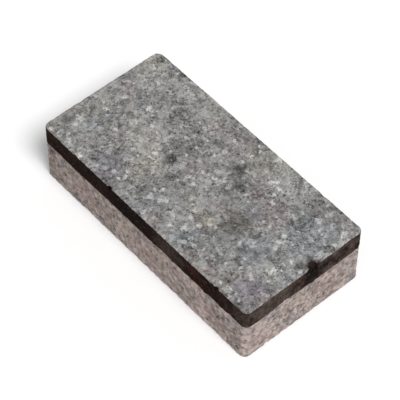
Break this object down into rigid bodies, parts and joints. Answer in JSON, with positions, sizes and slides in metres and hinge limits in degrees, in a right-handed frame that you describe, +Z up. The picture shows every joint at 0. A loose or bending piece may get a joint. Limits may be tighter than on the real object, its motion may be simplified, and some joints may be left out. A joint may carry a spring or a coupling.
{
  "type": "concrete paving stone",
  "caption": "Rectangular concrete paving stone with plain upright sides, crisp arrises and a darker facing over a paler backing, laid on a sand bed.",
  "frame": {"origin": "middle of the bed face, the face that lies on the sand", "axes": "+X along the stone's length, +Y across its width, +Z up, out of the walking face"},
  "size_m": [0.2, 0.1, 0.05],
  "materials": {
    "concrete": "matte"
  },
  "bodies": {
    "root": {"paving_stone": "concrete"}
  },
  "joints": []
}
